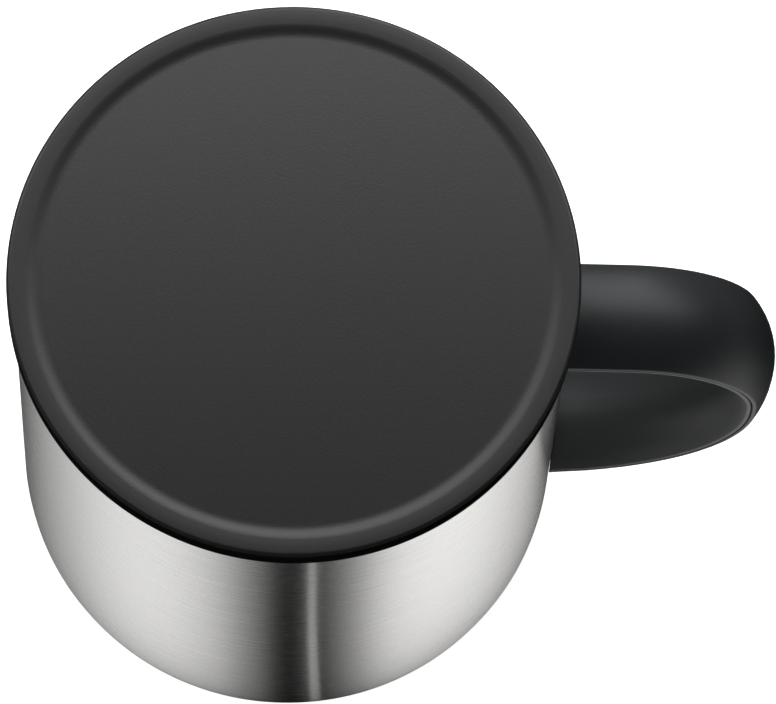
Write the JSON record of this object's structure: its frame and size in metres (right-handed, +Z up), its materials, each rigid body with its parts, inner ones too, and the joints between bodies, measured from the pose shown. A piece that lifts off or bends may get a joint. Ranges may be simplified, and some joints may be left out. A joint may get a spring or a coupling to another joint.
{
  "type": "vacuum mug",
  "caption": "Short wide vacuum-insulated steel mug with a press-on plug lid and a moulded plastic loop handle.",
  "frame": {"origin": "on the mug's axis, at the level of the foot ring that it stands on", "axes": "+Z up along the mug's axis, +X towards the handle"},
  "size_m": [0.1188, 0.087, 0.107],
  "materials": {
    "lid": "fine matte moulded charcoal plastic",
    "plug": "smooth moulded dark plastic",
    "gasket": "translucent white silicone",
    "outer_steel": "stainless steel brushed round the body",
    "inner_steel": "electropolished stainless steel",
    "plate_steel": "pressed stainless steel",
    "base_steel": "satin pressed stainless steel",
    "foil": "bright aluminium foil",
    "solder": "dull solder",
    "getter": "dark pressed metal powder",
    "handle": "satin moulded black plastic",
    "handle_inside": "satin moulded black plastic",
    "bracket_steel": "plain stainless steel",
    "screw_steel": "plain stainless steel"
  },
  "bodies": {
    "mug": {"outer_shell": "outer_steel", "vacuum_base": "plate_steel", "base_cover": "base_steel", "inner_wall": "inner_steel", "inner_base": "inner_steel", "heat_foil": "foil", "vacuum_seal": "solder", "getter_clip": "plate_steel", "getter_pellet": "getter", "handle_cover": "handle", "handle_liner": "handle_inside", "upper_bracket": "bracket_steel", "lower_bracket": "bracket_steel", "upper_screw": "screw_steel", "lower_screw": "screw_steel", "upper_nut": "screw_steel", "lower_nut": "screw_steel"},
    "seal": {"lid_gasket": "gasket"},
    "lid": {"lid_cap": "lid", "lid_plug": "plug"}
  },
  "joints": [
    {"name": "lid_lift", "type": "slide", "parent": "mug", "child": "seal", "axis": [0, 0, 1], "range_m": [0, 0.06]},
    {"name": "lid_turn", "type": "hinge", "parent": "seal", "child": "lid", "pos_m": [0, 0, 0.1], "axis": [0, 0, 1], "continuous": true}
  ]
}
